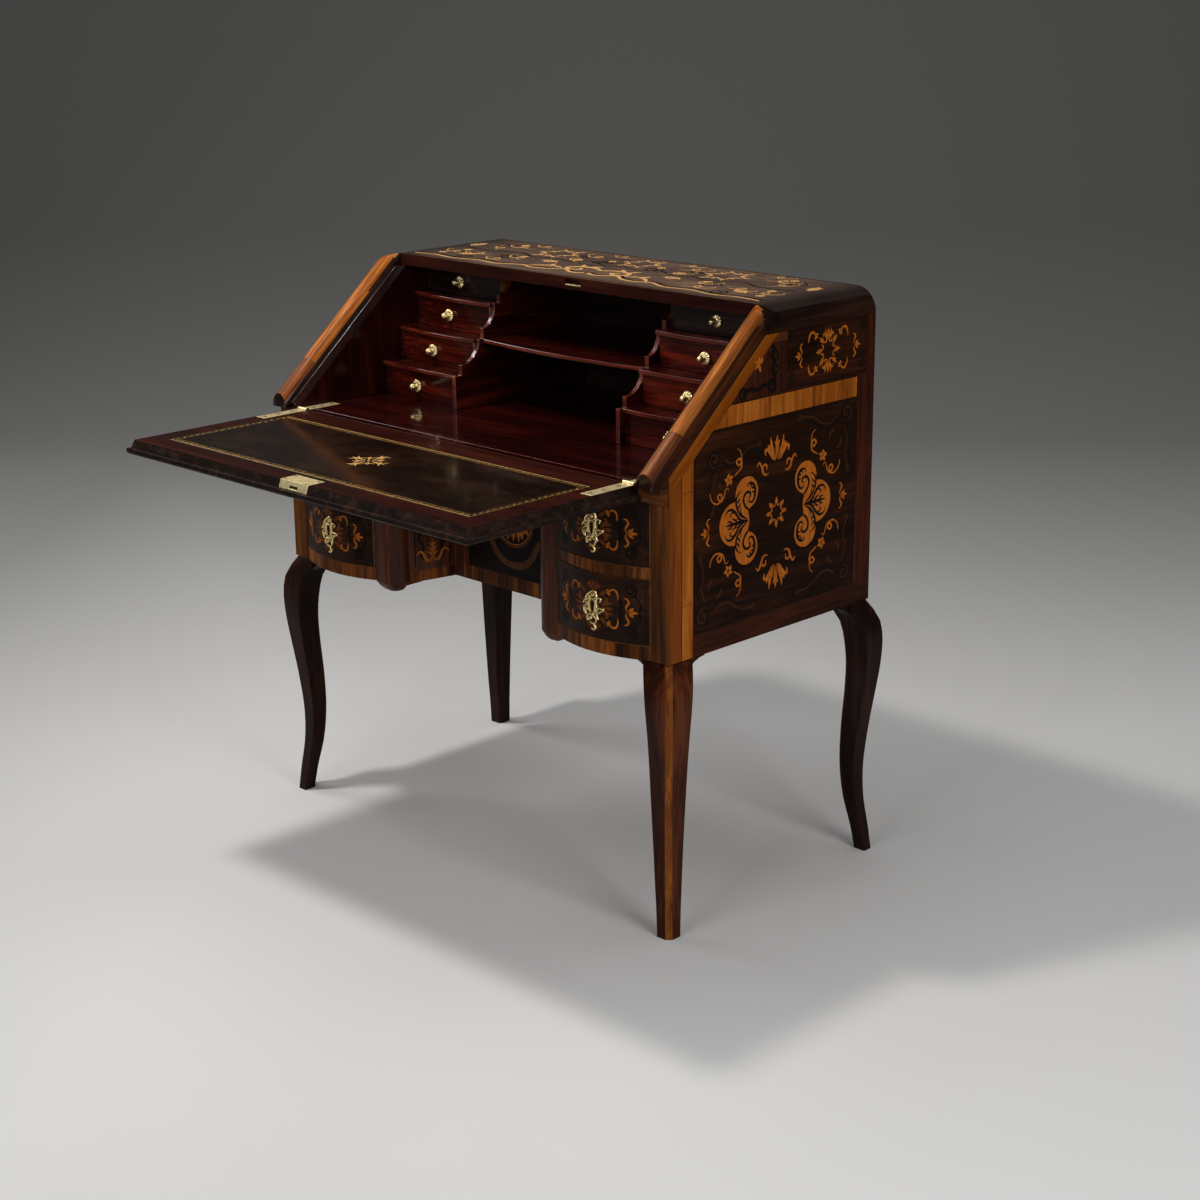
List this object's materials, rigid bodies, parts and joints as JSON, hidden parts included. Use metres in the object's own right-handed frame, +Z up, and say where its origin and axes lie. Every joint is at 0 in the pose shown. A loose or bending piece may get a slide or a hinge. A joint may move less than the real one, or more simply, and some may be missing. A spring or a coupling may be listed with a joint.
{
  "type": "fall-front secretary",
  "caption": "Marquetry fall-front secretary on cabriole legs, its leather-lined fall open over a fitted interior of small drawers with brass knobs, with drawers beside a knee recess.",
  "frame": {"origin": "on the floor, under the middle of the overall box of the secretary with its fall open", "axes": "+Z up, the front with the fall towards -Y, +X to the right as seen from the front"},
  "size_m": [0.9942, 0.9007, 1],
  "materials": {
    "rosewood": "french polished, inlaid",
    "walnut": "polished",
    "mahogany": "french polished",
    "pine": "plain",
    "leather": "polished, gilt tooled",
    "brass": "polished, aged"
  },
  "bodies": {
    "case": {"back_left_leg": "rosewood", "back_right_leg": "rosewood", "bottom_board": "rosewood", "front_left_leg": "rosewood", "front_right_leg": "rosewood", "left_drawer_frame": "rosewood", "left_pilaster": "rosewood", "left_recess_side": "rosewood", "left_side_panel": "rosewood", "right_drawer_frame": "rosewood", "right_pilaster": "rosewood", "right_recess_side": "rosewood", "right_side_panel": "rosewood", "top_board": "rosewood", "left_slant_roll": "walnut", "right_slant_roll": "walnut", "centre_shelf": "mahogany", "front_rail": "mahogany", "left_bank_frame": "mahogany", "left_lining": "mahogany", "right_bank_frame": "mahogany", "right_lining": "mahogany", "writing_bed": "mahogany", "back_board": "pine", "left_bed_hinge_leaf": "brass", "left_hinge_pin": "brass", "right_bed_hinge_leaf": "brass", "right_hinge_pin": "brass", "strike_plate": "brass"},
    "fall": {"fall_board": "mahogany", "leather_panel": "leather", "left_fall_hinge_leaf": "brass", "right_fall_hinge_leaf": "brass", "fall_lock": "brass"},
    "fall_bolt": {"fall_lock_bolt": "brass"},
    "centre_drawer": {"centre_drawer": "rosewood"},
    "lower_left_drawer": {"lower_left_drawer": "rosewood", "lower_left_lock": "brass"},
    "upper_left_drawer": {"upper_left_drawer": "rosewood", "upper_left_lock": "brass"},
    "left_inner_drawer_1": {"left_inner_drawer_1": "mahogany", "left_inner_knob_1": "brass"},
    "left_inner_drawer_2": {"left_inner_drawer_2": "mahogany", "left_inner_knob_2": "brass"},
    "left_inner_drawer_3": {"left_inner_drawer_3": "mahogany", "left_inner_knob_3": "brass"},
    "left_inner_drawer_4": {"left_inner_drawer_4": "mahogany", "left_inner_knob_4": "brass"},
    "lower_right_drawer": {"lower_right_drawer": "rosewood", "lower_right_lock": "brass"},
    "upper_right_drawer": {"upper_right_drawer": "rosewood", "upper_right_lock": "brass"},
    "right_inner_drawer_1": {"right_inner_drawer_1": "mahogany", "right_inner_knob_1": "brass"},
    "right_inner_drawer_2": {"right_inner_drawer_2": "mahogany", "right_inner_knob_2": "brass"},
    "right_inner_drawer_3": {"right_inner_drawer_3": "mahogany", "right_inner_knob_3": "brass"},
    "right_inner_drawer_4": {"right_inner_drawer_4": "mahogany", "right_inner_knob_4": "brass"}
  },
  "joints": [
    {"name": "fall_hinge", "type": "hinge", "parent": "case", "child": "fall", "pos_m": [0, -0.08891, 0.7503], "axis": [1, 0, 0], "range_deg": [-139.25, 0]},
    {"name": "fall_bolt_throw", "type": "slide", "parent": "fall", "child": "fall_bolt", "axis": [0, 1, 0], "range_m": [-0.012, 0]},
    {"name": "centre_drawer_slide", "type": "slide", "parent": "case", "child": "centre_drawer", "axis": [0, -1, 0], "range_m": [0, 0.22]},
    {"name": "lower_left_drawer_slide", "type": "slide", "parent": "case", "child": "lower_left_drawer", "axis": [0, -1, 0], "range_m": [0, 0.29]},
    {"name": "upper_left_drawer_slide", "type": "slide", "parent": "case", "child": "upper_left_drawer", "axis": [0, -1, 0], "range_m": [0, 0.29]},
    {"name": "left_inner_drawer_1_slide", "type": "slide", "parent": "case", "child": "left_inner_drawer_1", "axis": [0, -1, 0], "range_m": [0, 0.16]},
    {"name": "left_inner_drawer_2_slide", "type": "slide", "parent": "case", "child": "left_inner_drawer_2", "axis": [0, -1, 0], "range_m": [0, 0.14]},
    {"name": "left_inner_drawer_3_slide", "type": "slide", "parent": "case", "child": "left_inner_drawer_3", "axis": [0, -1, 0], "range_m": [0, 0.11]},
    {"name": "left_inner_drawer_4_slide", "type": "slide", "parent": "case", "child": "left_inner_drawer_4", "axis": [0, -1, 0], "range_m": [0, 0.095]},
    {"name": "lower_right_drawer_slide", "type": "slide", "parent": "case", "child": "lower_right_drawer", "axis": [0, -1, 0], "range_m": [0, 0.29]},
    {"name": "upper_right_drawer_slide", "type": "slide", "parent": "case", "child": "upper_right_drawer", "axis": [0, -1, 0], "range_m": [0, 0.29]},
    {"name": "right_inner_drawer_1_slide", "type": "slide", "parent": "case", "child": "right_inner_drawer_1", "axis": [0, -1, 0], "range_m": [0, 0.16]},
    {"name": "right_inner_drawer_2_slide", "type": "slide", "parent": "case", "child": "right_inner_drawer_2", "axis": [0, -1, 0], "range_m": [0, 0.14]},
    {"name": "right_inner_drawer_3_slide", "type": "slide", "parent": "case", "child": "right_inner_drawer_3", "axis": [0, -1, 0], "range_m": [0, 0.11]},
    {"name": "right_inner_drawer_4_slide", "type": "slide", "parent": "case", "child": "right_inner_drawer_4", "axis": [0, -1, 0], "range_m": [0, 0.095]}
  ]
}
